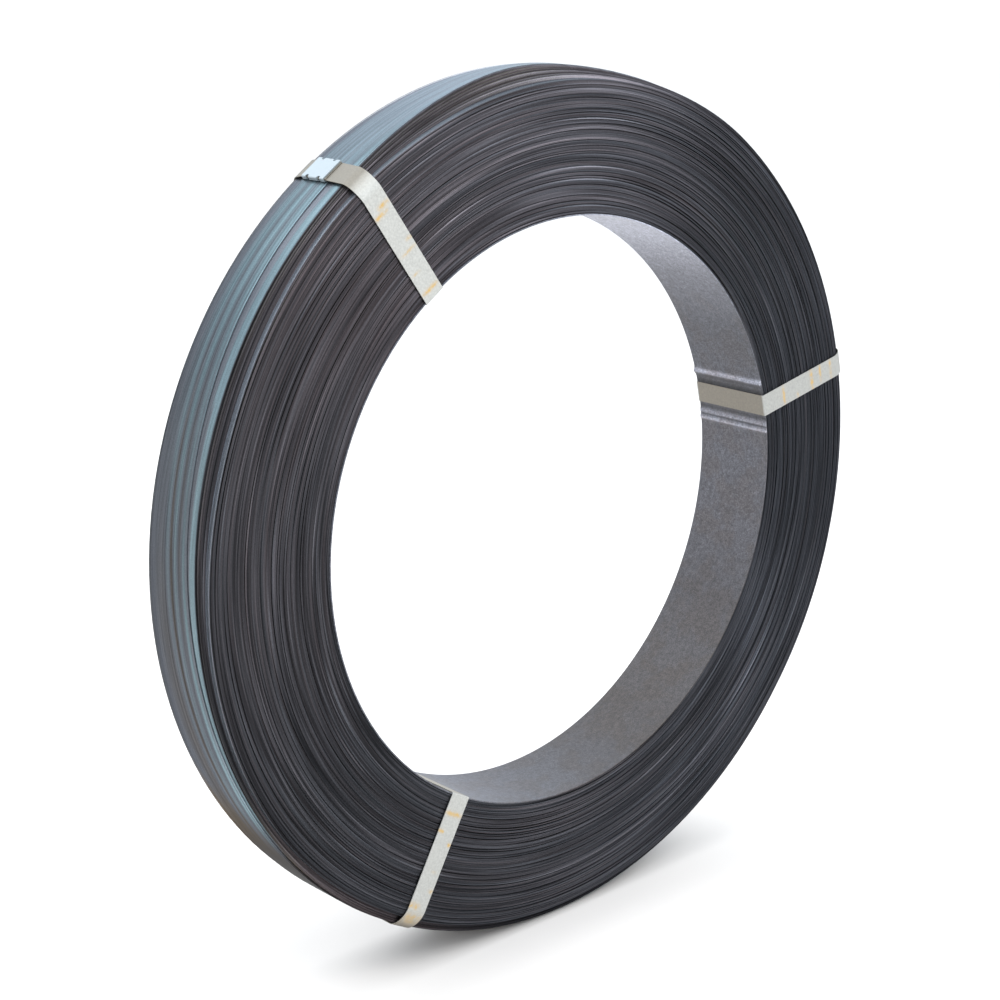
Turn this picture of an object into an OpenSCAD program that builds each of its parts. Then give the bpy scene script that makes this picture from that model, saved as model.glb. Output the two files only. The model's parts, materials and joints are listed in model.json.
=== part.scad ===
// Steel coil: steel strap wound into a ring, standing on its rim and held by three tie bands.
// Millimetres, +Z up. The origin is the centre of the bore, and the bore runs along Y.
// Angles are seen from the front, which faces -Y: 0 is +X and 90 is +Z.

/* [Coil] */
// Diameter of the bore that drops onto a reel
bore_d = 406; // [300:1:480]
// Diameter over the outermost turn
coil_d = 597; // [560:1:760]
// Width of the coil between its end faces
coil_w = 65; // [56:1:120]
// Thickness of one turn
turn_t = 0.8; // [0.5:0.05:2]
// How far the edge of a turn may lie behind its group
edge_scatter = 0.4; // [0.1:0.05:1]
// Turns in a group that was wound in one pass, on average
group_turns = 5; // [2:1:12]
// How far the edge of a group may lie behind the end face
group_depth = 1.2; // [0:0.1:2.5]
// Seed of the scatter
scatter_seed = 7; // [1:1:99]

/* [Shoulder] */
// Depth of the rounded shoulder below the rim
shoulder_depth = 14; // [8:0.5:24]
// How far the shoulder sets the rim back from the end face
shoulder_setback = 10.5; // [6:0.5:12]
// Radial thickness of the slack outer turns
slack_depth = 7; // [2:0.5:14]
// How far the slack outer turns lie behind the end face
slack_setback = 5; // [1:0.5:8]
// Radial thickness of the flank from the slack turns down to the tight ones
flank_depth = 1; // [1:0.5:4]
// How far the outermost turn lies behind the end face
outer_turn_setback = 16; // [10:0.5:20]

/* [Tie bands] */
// Width of a tie band
tie_w = 16; // [10:0.5:25]
// Thickness of a tie band
tie_t = 0.5; // [0.3:0.05:1]
// Gap between a tie band and the coil
tie_gap = 0.2; // [0.1:0.05:0.4]
// Gap between the overlapping ends of a tie band
lap_gap = 0.1; // [0.05:0.05:0.3]
// How far the outer end of a tie band runs out of its seal
tail_l = 1; // [1:0.5:6]
// Angle of the right tie band
right_angle = 12.4; // [0:0.1:40]
// Angle of the upper tie band
upper_angle = 125.2; // [100:0.1:150]
// Angle of the lower tie band
lower_angle = 240.5; // [220:0.1:255]

/* [Seals] */
// Length of a seal along the coil's width
seal_l = 21; // [18:0.5:30]
// Thickness of a seal's sheet
seal_t = 0.8; // [0.5:0.05:1.2]
// Play between a seal and the tie band in it
seal_play = 0.15; // [0.05:0.05:0.4]
// Width of the open seam under a seal
seal_seam = 5; // [2:0.5:8]
// How far the seal on the rim sits behind the middle of the rim
seal_shift = 4.5; // [0:0.5:6]
// Radius of a seal's folded edges
seal_edge_r = 0.8; // [0.2:0.05:1.2]
// Distance between the crimps of a seal
crimp_pitch = 11; // [8:0.5:14]
// Width of a crimp at the seal's edge
crimp_w = 4; // [2:0.25:6]
// Depth of a crimp from the seal's edge
crimp_depth = 2; // [1:0.25:4]

/* [Hidden] */

$fn = 180;
shoulder_steps = 10;
edge_steps = 4;

// How far a crimp's mouth opens past the seal's edge
crimp_mouth = 1;

bore_r = bore_d / 2;
coil_r = coil_d / 2;
half_w = coil_w / 2;

turn_count = round((coil_r - bore_r) / turn_t);
turn_pitch = (coil_r - bore_r) / turn_count;

// Middle of the flat part of an end face, where a seal on the rear end lies
lap_face_r = (bore_r + coil_r - shoulder_depth) / 2;

// A flat band rests on the curved bore with its two edges.
bore_seat_r = sqrt(pow(bore_r, 2) - pow(tie_w / 2, 2));

// The seal's lips lie between the rim and the band, and the band's ends lap above them.
lap_lift = tie_gap + seal_t + seal_play;
lap_rise = tie_t + lap_gap;
seal_room_h = lap_rise + tie_t + 2 * seal_play;
seal_room_w = tie_w + 2 * seal_play;
seal_h = seal_room_h + 2 * seal_t;
seal_w = seal_room_w + 2 * seal_t;

// Radius of the inner side of turn i
function turn_r(i) = bore_r + i * turn_pitch;

// Setback of the shoulder's elliptic curve at a depth below the rim
function curve_setback(depth) =
    depth >= shoulder_depth ? 0
    : shoulder_setback * (1 - sqrt(1 - pow(1 - depth / shoulder_depth, 2)));

// Setback of the slack turns and of the flank below them
function slack_setback_at(depth) =
    slack_setback * max(0, min(1, 1 - (depth - slack_depth) / flank_depth));

// Random shares from 0 to 1, squared because most turns lie near the end face and a few lie deep
function shares(seed) = [for (share = rands(0, 1, turn_count, seed)) share * share];

// Number of the group that each turn belongs to; a group ends at random
function turn_groups(seed) =
    let (chance = rands(0, group_turns, turn_count, seed))
    [for (i = 0, group = 0; i < turn_count; group = group + (chance[i] < 1 ? 1 : 0), i = i + 1) group];

// How far the edge of each turn lies behind the smooth end; the first turn lines the bore at full width
function edge_depths(seed) =
    let (turn_share = shares(seed))
    let (group_share = shares(seed + 1))
    let (group = turn_groups(seed + 2))
    [for (i = [0 : turn_count - 1])
        i == 0 ? 0 : edge_scatter * turn_share[i] + group_depth * group_share[group[i]]];

// Half width of the coil at the edge of turn i
function turn_half_w(i, edge_depth) =
    let (depth = coil_r - turn_r(i + 1))
    let (outer_setback = i == turn_count - 1 ? outer_turn_setback : 0)
    half_w - max(curve_setback(depth), slack_setback_at(depth), outer_setback) - edge_depth;

// One end of the section, from the bore to the rim, as a step for each turn
function end_steps(depths, side) = [
    for (i = [0 : turn_count - 1])
        each [
            [turn_r(i), side * turn_half_w(i, depths[i])],
            [turn_r(i + 1), side * turn_half_w(i, depths[i])]
        ]
];

function reversed(points) = [for (i = [len(points) - 1 : -1 : 0]) points[i]];

// Quarter of an ellipse round a centre, from one angle to the next
function quarter(centre, size, from, steps) = [
    for (step = [0 : steps])
        let (angle = from + 90 * step / steps)
        centre + [size[0] * cos(angle), size[1] * sin(angle)]
];

// Point of a lap: out from the coil and along the lap, on the rim or on the rear end face
function lap_point(lap, out, along) =
    lap == "rim" ? [coil_r + out, along - seal_shift] : [lap_face_r + along, -half_w - out];

// One side of a tie band at a distance from the coil, from its inner end to its outer end
function tie_side(distance, lap) =
    let (curve = [coil_r - shoulder_depth, half_w - shoulder_setback])
    let (curve_size = [shoulder_depth + distance, shoulder_setback + distance])
    let (bend_size = [distance, distance])
    let (front_shoulder = quarter(curve, curve_size, 0, shoulder_steps))
    let (front_edge = quarter([bore_seat_r, half_w], bend_size, 90, edge_steps))
    let (rear_edge = quarter([bore_seat_r, -half_w], bend_size, 180, edge_steps))
    let (rear_shoulder = quarter([curve[0], -curve[1]], curve_size, 270, shoulder_steps))
    let (out = lap_lift + distance - tie_gap)
    let (inner_end = [lap_point(lap, out, -seal_l / 2), lap_point(lap, out, seal_l / 2)])
    let (outer_out = out + lap_rise)
    let (outer_end = [lap_point(lap, outer_out, -seal_l / 2), lap_point(lap, outer_out, seal_l / 2 + tail_l)])
    lap == "rim"
        ? concat(inner_end, front_shoulder, front_edge, rear_edge, rear_shoulder, outer_end)
        : concat(inner_end, rear_shoulder, front_shoulder, front_edge, rear_edge, outer_end);

// Stands a shape drawn along +X, with the front along +Y, at an angle round the bore
module at_angle(angle) {
    rotate([0, -angle, 0])
        rotate([180, 0, 0])
            children();
}

// Stands a shape on the coil where a band's ends lap: its base is at X 0, and it runs along Y
module at_lap(lap) {
    if (lap == "rim")
        translate([coil_r, -seal_shift, 0])
            children();
    else
        translate([lap_face_r, -half_w, 0])
            rotate([0, 0, -90])
                children();
}

// The crimps of one seal: wedges that bite into both edges of the seal and of the band in it
module crimps() {
    tip_w = crimp_w / 2;
    for (side = [-1, 1])
        for (end = [-1, 1])
            translate([0, end * crimp_pitch / 2, side * seal_w / 2])
                rotate([90, 0, 90])
                    linear_extrude(lap_lift + seal_h)
                        polygon([
                            [-tip_w / 2, -side * crimp_depth],
                            [tip_w / 2, -side * crimp_depth],
                            [crimp_w / 2, side * crimp_mouth],
                            [-crimp_w / 2, side * crimp_mouth]
                        ]);
}

// The wound strap: one turned solid, with a step in both ends for each turn
module coil() {
    front = end_steps(edge_depths(scatter_seed), 1);
    rear = end_steps(edge_depths(scatter_seed + 100), -1);
    color("#3d4149")
        rotate([90, 0, 0])
            rotate_extrude()
                polygon(concat(front, reversed(rear)));
}

// A tie band: flat strap bent round the coil's section, with its ends lapped
module tie_band(angle, lap) {
    color("#d6d8d6")
        at_angle(angle)
            difference() {
                linear_extrude(tie_w, center = true)
                    polygon(concat(tie_side(tie_gap, lap), reversed(tie_side(tie_gap + tie_t, lap))));
                at_lap(lap)
                    crimps();
            }
}

// A seal: sheet folded round the lapped ends of a tie band and crimped
module seal(angle, lap) {
    color("#e4e4e0")
        at_angle(angle)
            at_lap(lap)
                difference() {
                    translate([tie_gap, 0, 0])
                        rotate([90, 0, 0])
                            linear_extrude(seal_l, center = true)
                                seal_section();
                    crimps();
                }
}

// The seal's section, with its outside along +X and its open seam towards the rim
module seal_section() {
    corner = [seal_h - seal_edge_r, seal_w / 2 - seal_edge_r];
    edge_size = [seal_edge_r, seal_edge_r];
    difference() {
        polygon(concat(
            quarter(corner, edge_size, 0, edge_steps),
            quarter([seal_edge_r, corner[1]], edge_size, 90, edge_steps),
            quarter([seal_edge_r, -corner[1]], edge_size, 180, edge_steps),
            quarter([corner[0], -corner[1]], edge_size, 270, edge_steps)
        ));
        translate([seal_t, -seal_room_w / 2])
            square([seal_room_h, seal_room_w]);
        translate([-seal_t, -seal_seam / 2])
            square([2 * seal_t + seal_room_h / 2, seal_seam]);
    }
}

module tie_band_right() { tie_band(right_angle, "rear"); }
module tie_band_upper() { tie_band(upper_angle, "rim"); }
module tie_band_lower() { tie_band(lower_angle, "rear"); }
module seal_right() { seal(right_angle, "rear"); }
module seal_upper() { seal(upper_angle, "rim"); }
module seal_lower() { seal(lower_angle, "rear"); }

coil();
tie_band_right();
tie_band_upper();
tie_band_lower();
seal_right();
seal_upper();
seal_lower();
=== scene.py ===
"""Dresses a steel coil: wound strap, its inner turn, the tie bands and the seals, in a pale studio."""

import json
import math

import bpy
import numpy as np
from bpy.props import FloatProperty, FloatVectorProperty, IntProperty, PointerProperty
from bpy.types import Operator, Panel, PropertyGroup
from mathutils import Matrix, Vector


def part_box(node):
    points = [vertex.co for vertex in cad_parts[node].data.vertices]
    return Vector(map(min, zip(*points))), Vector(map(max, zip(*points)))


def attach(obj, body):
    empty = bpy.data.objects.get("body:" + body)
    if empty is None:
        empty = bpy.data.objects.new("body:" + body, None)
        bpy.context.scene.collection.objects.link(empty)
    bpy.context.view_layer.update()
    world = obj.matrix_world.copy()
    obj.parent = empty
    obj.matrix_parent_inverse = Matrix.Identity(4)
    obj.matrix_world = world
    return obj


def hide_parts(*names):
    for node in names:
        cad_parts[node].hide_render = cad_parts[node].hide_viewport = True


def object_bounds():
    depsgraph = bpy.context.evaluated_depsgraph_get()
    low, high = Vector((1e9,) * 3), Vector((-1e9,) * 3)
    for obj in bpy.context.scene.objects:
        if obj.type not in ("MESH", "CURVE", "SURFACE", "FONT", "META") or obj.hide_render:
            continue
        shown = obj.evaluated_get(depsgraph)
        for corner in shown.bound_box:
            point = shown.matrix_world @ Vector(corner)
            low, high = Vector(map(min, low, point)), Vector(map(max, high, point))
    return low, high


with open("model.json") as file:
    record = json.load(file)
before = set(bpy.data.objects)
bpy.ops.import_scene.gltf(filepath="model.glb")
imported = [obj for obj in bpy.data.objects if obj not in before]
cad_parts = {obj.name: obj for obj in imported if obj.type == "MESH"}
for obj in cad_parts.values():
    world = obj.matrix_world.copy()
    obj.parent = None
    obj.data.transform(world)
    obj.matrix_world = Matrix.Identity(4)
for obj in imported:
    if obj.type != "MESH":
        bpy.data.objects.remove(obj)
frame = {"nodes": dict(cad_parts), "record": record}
CAD_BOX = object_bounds()

bl_info = {
    "name": "Steel coil",
    "version": (1, 0, 0),
    "blender": (4, 5, 0),
    "location": "View3D > Sidebar > Steel coil",
    "description": "Wound strap, tie bands and seals of a steel coil, with its studio",
    "category": "Object",
}

MM = 0.001
SHARP_ANGLE = math.radians(35)
BUMP_DEPTH = 0.1 * MM
# Where the ends of each tie band lap: on the rim or on the rear end.
BANDS = {"right": "rear", "upper": "rim", "lower": "rear"}
COIL_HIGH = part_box("coil")[1]
COIL_R = COIL_HIGH.x
HALF_W = COIL_HIGH.y
BORE_R = frame["record"]["mounts"][0]["dims"]["r_mm"] * MM

# Fineness of the meshes: rows of points across each piece, how much finer the inner turn is round the bore,
# how far apart the points along a tie band lie, and the steps in its bends.
MARGIN_ROWS = 20
OUTER_ROWS = 45
INNER_ROWS = 13
INNER_FINER = 4
BAND_ROWS = 9
BAND_SPACING = 0.8 * MM
SHOULDER_STEPS = 12
BEND_STEPS = 6


def angle_of(node):
    """Angle of a CAD node round the bore, seen from the front."""
    low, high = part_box(node)
    return math.atan2(low.z + high.z, low.x + high.x)


class CoilSizes(PropertyGroup):
    """Sizes of the winding."""

    turn_t: FloatProperty(
        name="Turn thickness", description="Thickness of one turn", default=0.8 * MM, unit="LENGTH"
    )
    shoulder_depth: FloatProperty(
        name="Shoulder depth", description="Depth of the rounded shoulder", default=14 * MM, unit="LENGTH"
    )
    shoulder_setback: FloatProperty(
        name="Shoulder setback", description="Setback of the rim from the end face",
        default=10.5 * MM, unit="LENGTH"
    )
    slack_depth: FloatProperty(
        name="Slack depth", description="Radial thickness of the slack outer turns",
        default=7 * MM, unit="LENGTH"
    )
    slack_setback: FloatProperty(
        name="Slack setback", description="Setback of the slack outer turns", default=5.5 * MM, unit="LENGTH"
    )
    shoulder_power: FloatProperty(
        name="Shoulder power", default=1.7,
        description="Roundness of the shoulder: 2 is an ellipse, 1 is a straight slope"
    )
    outer_setback: FloatProperty(
        name="Outer setback", description="Setback of the outermost turn from the end face",
        default=16 * MM, unit="LENGTH"
    )
    meet: FloatProperty(
        name="Meet", description="Where the front half and the rear half meet, behind the middle",
        default=12 * MM, unit="LENGTH"
    )
    # The margin carries a painted highlight beside the outermost turn.
    margin: FloatProperty(
        name="Margin", description="Width of the rubbed margin beside the outermost turn",
        default=7 * MM, unit="LENGTH"
    )
    margin_drop: FloatProperty(
        name="Margin drop", description="How far the margin beside the outermost turn bends down",
        default=0.6 * MM, unit="LENGTH"
    )
    group_depth: FloatProperty(
        name="Group depth", description="How deep a group of turns may lie", default=0.5 * MM, unit="LENGTH"
    )
    gap_depth: FloatProperty(
        name="Gap depth", description="How deep the turn between two groups lies",
        default=1.0 * MM, unit="LENGTH"
    )
    turn_scatter: FloatProperty(
        name="Turn scatter", description="How far one turn may lie behind its group",
        default=0.3 * MM, unit="LENGTH"
    )
    wander: FloatProperty(
        name="Wander", description="How far the turns stray from true circles",
        default=0.8 * MM, unit="LENGTH"
    )
    dark_lines: FloatVectorProperty(
        name="Dark lines", description="Depths below the rim of the dark lines in the slack turns",
        size=2, default=(0.8 * MM, 3.9 * MM), unit="LENGTH"
    )
    edge_round: FloatProperty(
        name="Edge rounding", description="How far a turn's edge falls back towards its outer face",
        default=0.3 * MM, unit="LENGTH"
    )
    steps_around: IntProperty(name="Steps around", description="Segments of the winding", default=192)
    seed: IntProperty(name="Seed", description="Seed of the scatter", default=11)


class TieSizes(PropertyGroup):
    """Sizes of the tie bands."""

    width: FloatProperty(name="Width", description="Width of a tie band", default=16 * MM, unit="LENGTH")
    thickness: FloatProperty(
        name="Thickness", description="Thickness of a tie band", default=0.5 * MM, unit="LENGTH"
    )
    gap: FloatProperty(
        name="Gap", description="Gap between a tie band and the coil", default=0.2 * MM, unit="LENGTH"
    )
    lap_lift: FloatProperty(
        name="Lap lift", description="Height of the lapped ends above the rim",
        default=1.15 * MM, unit="LENGTH"
    )
    lap_rise: FloatProperty(
        name="Lap rise", description="Rise of the outer end over the inner one",
        default=0.6 * MM, unit="LENGTH"
    )
    seal_l: FloatProperty(name="Seal length", description="Length of a seal", default=21 * MM, unit="LENGTH")
    seal_shift: FloatProperty(
        name="Seal shift", description="How far the seal on the rim sits behind its middle",
        default=4.5 * MM, unit="LENGTH"
    )
    tail: FloatProperty(
        name="Tail", description="How far the outer end runs out of the seal", default=1 * MM, unit="LENGTH"
    )


# What all finish colours have in common.
AS_COLOUR = {"subtype": "COLOR", "size": 3, "min": 0, "max": 1}


class Finishes(PropertyGroup):
    """Colours of the finishes."""

    # Faces turn from grey to blue where their tint goes below nought: on the bright lines of the outermost
    # turn, the front margin, the flank and where RIM_BLUE adds it.
    strap_blue: FloatVectorProperty(
        name="Strap face", description="Blued face of the strap", default=(0.068, 0.092, 0.101), **AS_COLOUR
    )
    strap_grey: FloatVectorProperty(
        name="Dull strap face", description="Face of the strap where the blueing has dulled",
        default=(0.081, 0.086, 0.096), **AS_COLOUR
    )
    edge_dark: FloatVectorProperty(
        name="Strap edge", description="Dark edge of the strap", default=(0.0405, 0.0425, 0.0485), **AS_COLOUR
    )
    bore_grey: FloatVectorProperty(
        name="Inner turn", description="Grey face of the inner turn",
        default=(0.115, 0.118, 0.138), **AS_COLOUR
    )
    zinc: FloatVectorProperty(
        name="Zinc", description="Zinc of the tie bands", default=(0.44, 0.438, 0.41), **AS_COLOUR
    )
    seal_zinc: FloatVectorProperty(
        name="Seal zinc", description="Bright zinc of the seals", default=(0.312, 0.354, 0.375), **AS_COLOUR
    )
    # Khaki is mixed in beyond the ends of the bands, on the rim and in the bore.
    khaki: FloatVectorProperty(
        name="Dull zinc", description="Zinc that has dulled on the rim and in the bore",
        default=(0.256, 0.231, 0.190), **AS_COLOUR
    )
    strap_sheen: FloatVectorProperty(
        name="Strap sheen", description="Tint of the strap's reflections at a flat angle",
        default=(0.30, 0.30, 0.31), **AS_COLOUR
    )
    edge_mauve: FloatVectorProperty(
        name="Mauve edge", description="Warmer edges of the turns, upper left",
        default=(0.057, 0.043, 0.044), **AS_COLOUR
    )
    # Olive goes where a face's tint is raised: mostly the painted reflection of a brown floor low on the
    # rim's left.
    olive: FloatVectorProperty(
        name="Olive", description="Strap that has browned on the rim",
        default=(0.100, 0.082, 0.060), **AS_COLOUR
    )
    brown: FloatVectorProperty(
        name="Brown", description="Inner turn that has browned", default=(0.096, 0.079, 0.073), **AS_COLOUR
    )
    rust: FloatVectorProperty(
        name="Rust", description="Rust stain on the tie bands", default=(0.50, 0.32, 0.10), **AS_COLOUR
    )
    floor: FloatVectorProperty(
        name="Floor", description="Pale floor", default=(0.71, 0.665, 0.625), **AS_COLOUR
    )


class StudioSettings(PropertyGroup):
    """Camera and light."""

    azimuth: FloatProperty(
        name="Azimuth", description="Camera angle round the coil",
        default=math.radians(-42.93), subtype="ANGLE"
    )
    elevation: FloatProperty(
        name="Elevation", description="Camera angle above the bore",
        default=math.radians(16.29), subtype="ANGLE"
    )
    distance: FloatProperty(
        name="Distance", description="From the camera to the bore's centre", default=1.466, unit="LENGTH"
    )
    lens: FloatProperty(name="Lens", description="Focal length", default=76.47, unit="CAMERA")
    sensor: FloatProperty(name="Sensor", description="Width of the sensor", default=36.0, unit="CAMERA")
    shift_x: FloatProperty(name="Shift X", description="Sideways framing of the camera", default=-0.0362)
    shift_y: FloatProperty(name="Shift Y", description="Upward framing of the camera", default=0.005)
    sky_low: FloatVectorProperty(
        name="Sky low", description="Light from the horizon", subtype="COLOR", size=3, default=(1.1, 1.1, 1.1)
    )
    sky_high: FloatVectorProperty(
        name="Sky high", description="Light from overhead", subtype="COLOR", size=3,
        default=(1.45, 1.62, 1.80)
    )
    key: FloatProperty(name="Key", description="Power of the softbox in front", default=20.0, subtype="POWER")
    key_size: FloatProperty(
        name="Key size", description="Side of the softbox in front", default=1.2, unit="LENGTH"
    )
    key_place: FloatVectorProperty(
        name="Key place", description="Place of the softbox in front", subtype="TRANSLATION",
        size=3, default=(0.2, -1.6, 1.9)
    )
    top: FloatProperty(name="Top", description="Power of the softbox overhead", default=46.0, subtype="POWER")
    top_size: FloatProperty(
        name="Top size", description="Side of the softbox overhead", default=3.2, unit="LENGTH"
    )
    top_place: FloatVectorProperty(
        name="Top place", description="Place of the softbox overhead", subtype="TRANSLATION",
        size=3, default=(-0.35, 0.25, 2.0)
    )
    sky_rise: FloatProperty(
        name="Sky rise", description="Height in the sky where the light from overhead is full",
        default=0.65, subtype="FACTOR"
    )
    floor_reach: FloatProperty(
        name="Floor reach", description="From the coil to the floor's edges", default=8.0, unit="LENGTH"
    )


class Nodes:
    """Short calls for building a node tree."""

    def __init__(self, tree):
        self.tree = tree

    def feed(self, socket, value):
        if isinstance(value, bpy.types.NodeSocket):
            self.tree.links.new(value, socket)
        else:
            socket.default_value = value

    def add(self, kind, inputs=None, **settings):
        made = self.tree.nodes.new(kind)
        for name, value in settings.items():
            setattr(made, name, value)
        for name, value in (inputs or {}).items():
            self.feed(made.inputs[name], value)
        return made

    def math(self, operation, *values):
        made = self.add("ShaderNodeMath", operation=operation)
        for socket, value in zip(made.inputs, values):
            self.feed(socket, value)
        return made.outputs[0]

    def band(self, value, low, high, to_low=0.0, to_high=1.0):
        """Maps a value from low..high to to_low..to_high, held at the ends."""
        names = ("Value", "From Min", "From Max", "To Min", "To Max")
        made = self.add("ShaderNodeMapRange", dict(zip(names, (value, low, high, to_low, to_high))))
        return made.outputs["Result"]

    def between(self, value, low, high):
        """Maps a value from 0..1 to low..high."""
        return self.band(value, 0, 1, low, high)

    def mix(self, share, first, second, blend="MIX"):
        made = self.add("ShaderNodeMix", data_type="RGBA", blend_type=blend)
        for socket, value in zip((made.inputs[0], made.inputs[6], made.inputs[7]), (share, first, second)):
            self.feed(socket, value)
        return made.outputs[2]

    def toned(self, base, factor):
        """A colour made lighter or darker by a factor."""
        return self.mix(1.0, base, factor, "MULTIPLY")

    def noise(self, vector, scale, detail, roughness):
        inputs = {"Vector": vector, "Scale": scale, "Detail": detail, "Roughness": roughness}
        return self.add("ShaderNodeTexNoise", inputs).outputs["Fac"]

    def group(self, name, inputs):
        made = self.add("ShaderNodeGroup")
        made.node_tree = bpy.data.node_groups[name]
        for key, value in inputs.items():
            self.feed(made.inputs[key], value)
        return made.outputs

    def grain(self, scale):
        return self.group("fine_grain", {"Scale": scale})["Grain"]

    def carried(self, name):
        """A value that the mesh carries at its points."""
        return self.add("ShaderNodeAttribute", attribute_name=name).outputs["Fac"]

    def emboss(self, shader, strength, height):
        """Bumps the surface of a shader."""
        bump = self.add("ShaderNodeBump", {"Strength": strength, "Distance": BUMP_DEPTH, "Height": height})
        self.feed(shader["Normal"], bump.outputs["Normal"])


# Part of the noise that is spread over the full range, in streaks and grain.
NOISE_RANGE = (0.3, 0.7)
# How squarely a surface looks along the bore where the strap's face turns into its edge.
EDGE_FACING = (0.6, 0.9)
# Part of the grain that makes brown patches in the bore, and how far they change the tint.
PATCH_RANGE = (0.35, 0.65)
PATCH_TINT = (-0.14, 0.14)
# Part of the grain that breaks up the rust stains, and the shares of the stain that it leaves.
RAGGED_RANGE = (0.2, 0.8)
RAGGED_STAIN = (0.3, 1.4)


def new_group(name, inputs, outputs):
    """Makes an empty shader node group with float inputs and outputs."""
    tree = bpy.data.node_groups.new(name, "ShaderNodeTree")
    for key, default in inputs.items():
        tree.interface.new_socket(key, in_out="INPUT", socket_type="NodeSocketFloat").default_value = default
    for key in outputs:
        tree.interface.new_socket(key, in_out="OUTPUT", socket_type="NodeSocketFloat")
    nodes = Nodes(tree)
    return nodes, nodes.add("NodeGroupInput").outputs, nodes.add("NodeGroupOutput").inputs


def make_streaks_group():
    """Streaks that run round the coil, over its rim, its bore and its ends alike."""
    nodes, given, made = new_group("winding_streaks", {"Around": 3.0, "Across": 400.0}, ("Streak",))
    place = nodes.add("ShaderNodeTexCoord").outputs["Object"]
    axes = nodes.add("ShaderNodeSeparateXYZ", {"Vector": place}).outputs
    radius = nodes.math("SQRT", nodes.math("ADD", nodes.math("MULTIPLY", axes["X"], axes["X"]),
                                           nodes.math("MULTIPLY", axes["Z"], axes["Z"])))
    turn_x = nodes.math("MULTIPLY", nodes.math("DIVIDE", axes["X"], radius), given["Around"])
    turn_z = nodes.math("MULTIPLY", nodes.math("DIVIDE", axes["Z"], radius), given["Around"])
    across = nodes.math("MULTIPLY", nodes.math("SUBTRACT", radius, axes["Y"]), given["Across"])
    vector = nodes.add("ShaderNodeCombineXYZ", {"X": turn_x, "Y": turn_z, "Z": across}).outputs["Vector"]
    noise = nodes.noise(vector, scale=1.0, detail=3.0, roughness=0.6)
    nodes.feed(made["Streak"], nodes.band(noise, *NOISE_RANGE))


def make_grain_group():
    """Fine even grain, as on oxide and on zinc."""
    nodes, given, made = new_group("fine_grain", {"Scale": 900.0}, ("Grain",))
    place = nodes.add("ShaderNodeTexCoord").outputs["Object"]
    noise = nodes.noise(place, given["Scale"], detail=4.0, roughness=0.65)
    nodes.feed(made["Grain"], nodes.band(noise, *NOISE_RANGE))


def new_material(name):
    """Makes a material; returns it with its nodes and the inputs of its shader."""
    material = bpy.data.materials.new(name)
    material.use_nodes = True
    nodes = Nodes(material.node_tree)
    return material, nodes, material.node_tree.nodes["Principled BSDF"].inputs


def colour(value):
    """A colour with full alpha, as sockets take it."""
    return (*value, 1.0)


def make_strap_material(finish):
    """Blued strap: steel blue on its faces, charcoal on its edges; each turn's tone carries painted light and
    shade.
    """
    material, nodes, shader = new_material("blued_strap")
    normal = nodes.add("ShaderNodeTexCoord").outputs["Normal"]
    facing = nodes.math("ABSOLUTE", nodes.add("ShaderNodeSeparateXYZ", {"Vector": normal}).outputs["Y"])
    edge = nodes.band(facing, *EDGE_FACING)
    tone = nodes.carried("tone")
    tint = nodes.carried("tint")
    fine = nodes.group("winding_streaks", {"Around": 4.0, "Across": 1100.0})["Streak"]
    grain = nodes.grain(1400.0)
    face = nodes.mix(nodes.band(tint, 0, -1), colour(finish.strap_grey), colour(finish.strap_blue))
    # A raised tint mixes in olive: mostly the painted reflection of a brown floor low on the left of the rim.
    brown_tinted = nodes.mix(tint, face, colour(finish.olive))
    charcoal = nodes.mix(tint, colour(finish.edge_dark), colour(finish.edge_mauve))
    steel = nodes.mix(edge, brown_tinted, charcoal)
    lightness_factor = nodes.math("MULTIPLY", nodes.between(fine, 0.75, 1.25), nodes.between(grain, 0.8, 1.2))
    # The carried tone is painted light and shade round the coil; the streaks and grain are the strap's own.
    nodes.feed(shader["Base Color"], nodes.toned(steel, nodes.math("MULTIPLY", tone, lightness_factor)))
    nodes.feed(shader["Roughness"], nodes.between(edge, 0.36, 0.5))
    shader["Metallic"].default_value = 0.9
    shader["Specular Tint"].default_value = colour(finish.strap_sheen)
    nodes.emboss(shader, 0.2, fine)
    return material


def make_bore_material(finish):
    """Inner turn: one smooth grey sheet with a mottled grain, browned low in the bore, with painted light and
    shade in its tone.
    """
    material, nodes, shader = new_material("inner_turn_grey")
    mottle = nodes.grain(320.0)
    grain = nodes.grain(1100.0)
    tone = nodes.carried("tone")
    tint = nodes.carried("tint")
    patch = nodes.grain(45.0)
    brown_tinted = nodes.math("ADD", tint, nodes.band(patch, *PATCH_RANGE, *PATCH_TINT))
    steel = nodes.mix(brown_tinted, colour(finish.bore_grey), colour(finish.brown))
    lightness_factor = nodes.math("MULTIPLY", nodes.between(mottle, 0.7, 1.3), nodes.between(grain, 0.4, 1.6))
    # The carried tone is painted light and shade round the bore and on its wrinkles; mottle and grain are its
    # own.
    nodes.feed(shader["Base Color"], nodes.toned(steel, nodes.math("MULTIPLY", tone, lightness_factor)))
    nodes.feed(shader["Roughness"], nodes.between(grain, 0.42, 0.56))
    shader["Metallic"].default_value = 0.3
    nodes.emboss(shader, 0.25, grain)
    return material


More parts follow.
